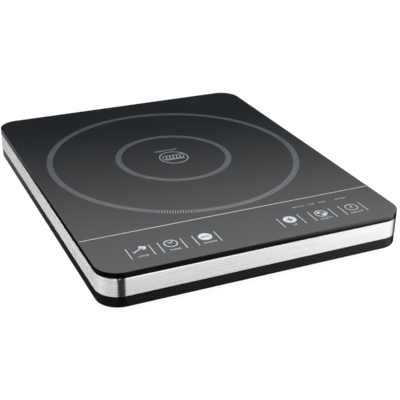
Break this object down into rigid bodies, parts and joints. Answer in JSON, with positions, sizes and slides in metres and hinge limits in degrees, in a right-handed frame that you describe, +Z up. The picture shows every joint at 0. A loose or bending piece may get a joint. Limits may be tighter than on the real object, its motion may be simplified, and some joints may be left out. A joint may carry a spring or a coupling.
{
  "type": "portable electric induction cooktop",
  "caption": "Slim portable induction cooktop with a black glass plate, a brushed steel band, a black tray on rubber feet, and a fan-cooled coil inside.",
  "frame": {"origin": "middle of the footprint, on the surface the feet stand on", "axes": "X to the right, Y to the back away from the touch keys, Z up"},
  "size_m": [0.288, 0.3634, 0.041],
  "materials": {
    "black_glass": "gloss ceramic glass, opaque black",
    "silicone_seal": "matt silicone",
    "frame_plastic": "fine moulded texture",
    "band_steel": "horizontal brushed stainless",
    "tray_plastic": "fine moulded texture",
    "foot_rubber": "matt rubber",
    "zinc_steel": "zinc plated",
    "label_film": "satin film, blank",
    "coil_plastic": "heat resistant moulding",
    "copper_wire": "enamelled stranded copper",
    "ferrite": "sintered",
    "mica": "pressed sheet",
    "sensor_silicone": "white silicone",
    "sensor_bead": "epoxy",
    "fan_plastic": "satin moulding",
    "bearing_bronze": "sintered bronze",
    "board_laminate": "solder mask on laminate",
    "heatsink_aluminium": "extruded",
    "chip_epoxy": "moulded epoxy",
    "capacitor_case": "moulded box",
    "terminal_brass": "turned",
    "connector_nylon": "nylon",
    "display_epoxy": "smoked",
    "lamp_epoxy": "diffused",
    "spring_steel": "plated",
    "wire_sleeve": "silicone sleeve",
    "ribbon_pvc": "ribbon cable"
  },
  "bodies": {
    "cooktop": {"base_tray": "tray_plastic", "bridge_rectifier": "chip_epoxy", "buzzer": "chip_epoxy", "cable_gland": "foot_rubber", "case_screws": "zinc_steel", "choke": "ferrite", "coil_former": "coil_plastic", "coil_lead_inner": "wire_sleeve", "coil_lead_outer": "wire_sleeve", "coil_screws": "zinc_steel", "coil_terminals": "terminal_brass", "control_board": "board_laminate", "control_board_screws": "zinc_steel", "display_module": "display_epoxy", "fan_bearing": "bearing_bronze", "fan_frame": "fan_plastic", "fan_windings": "copper_wire", "ferrite_bar_1": "ferrite", "ferrite_bar_2": "ferrite", "ferrite_bar_3": "ferrite", "ferrite_bar_4": "ferrite", "ferrite_bar_5": "ferrite", "ferrite_bar_6": "ferrite", "filter_capacitor": "capacitor_case", "foot_front_left": "foot_rubber", "foot_front_right": "foot_rubber", "foot_rear_left": "foot_rubber", "foot_rear_right": "foot_rubber", "fuse": "display_epoxy", "glass_plate": "black_glass", "heatsink": "heatsink_aluminium", "igbt": "chip_epoxy", "indicator_leds": "lamp_epoxy", "induction_coil": "copper_wire", "insulation_disc": "mica", "ntc_holder": "sensor_silicone", "ntc_sensor": "sensor_bead", "plate_seal": "silicone_seal", "power_board": "board_laminate", "power_board_screws": "zinc_steel", "rating_label": "label_film", "resonant_capacitor": "capacitor_case", "ribbon_cable": "ribbon_pvc", "ribbon_plugs": "connector_nylon", "standby_transformer": "chip_epoxy", "steel_band": "band_steel", "terminal_block": "connector_nylon", "top_frame": "frame_plastic", "touch_controller": "chip_epoxy", "touch_spring_1": "spring_steel", "touch_spring_2": "spring_steel", "touch_spring_3": "spring_steel", "touch_spring_4": "spring_steel", "touch_spring_5": "spring_steel", "touch_spring_6": "spring_steel", "varistor": "capacitor_case"},
    "fan_rotor": {"fan_impeller": "fan_plastic"}
  },
  "joints": [
    {"name": "fan_spin", "type": "hinge", "parent": "cooktop", "child": "fan_rotor", "pos_m": [-0.068, 0.126, 0.02], "axis": [0, 0, 1], "continuous": true}
  ]
}
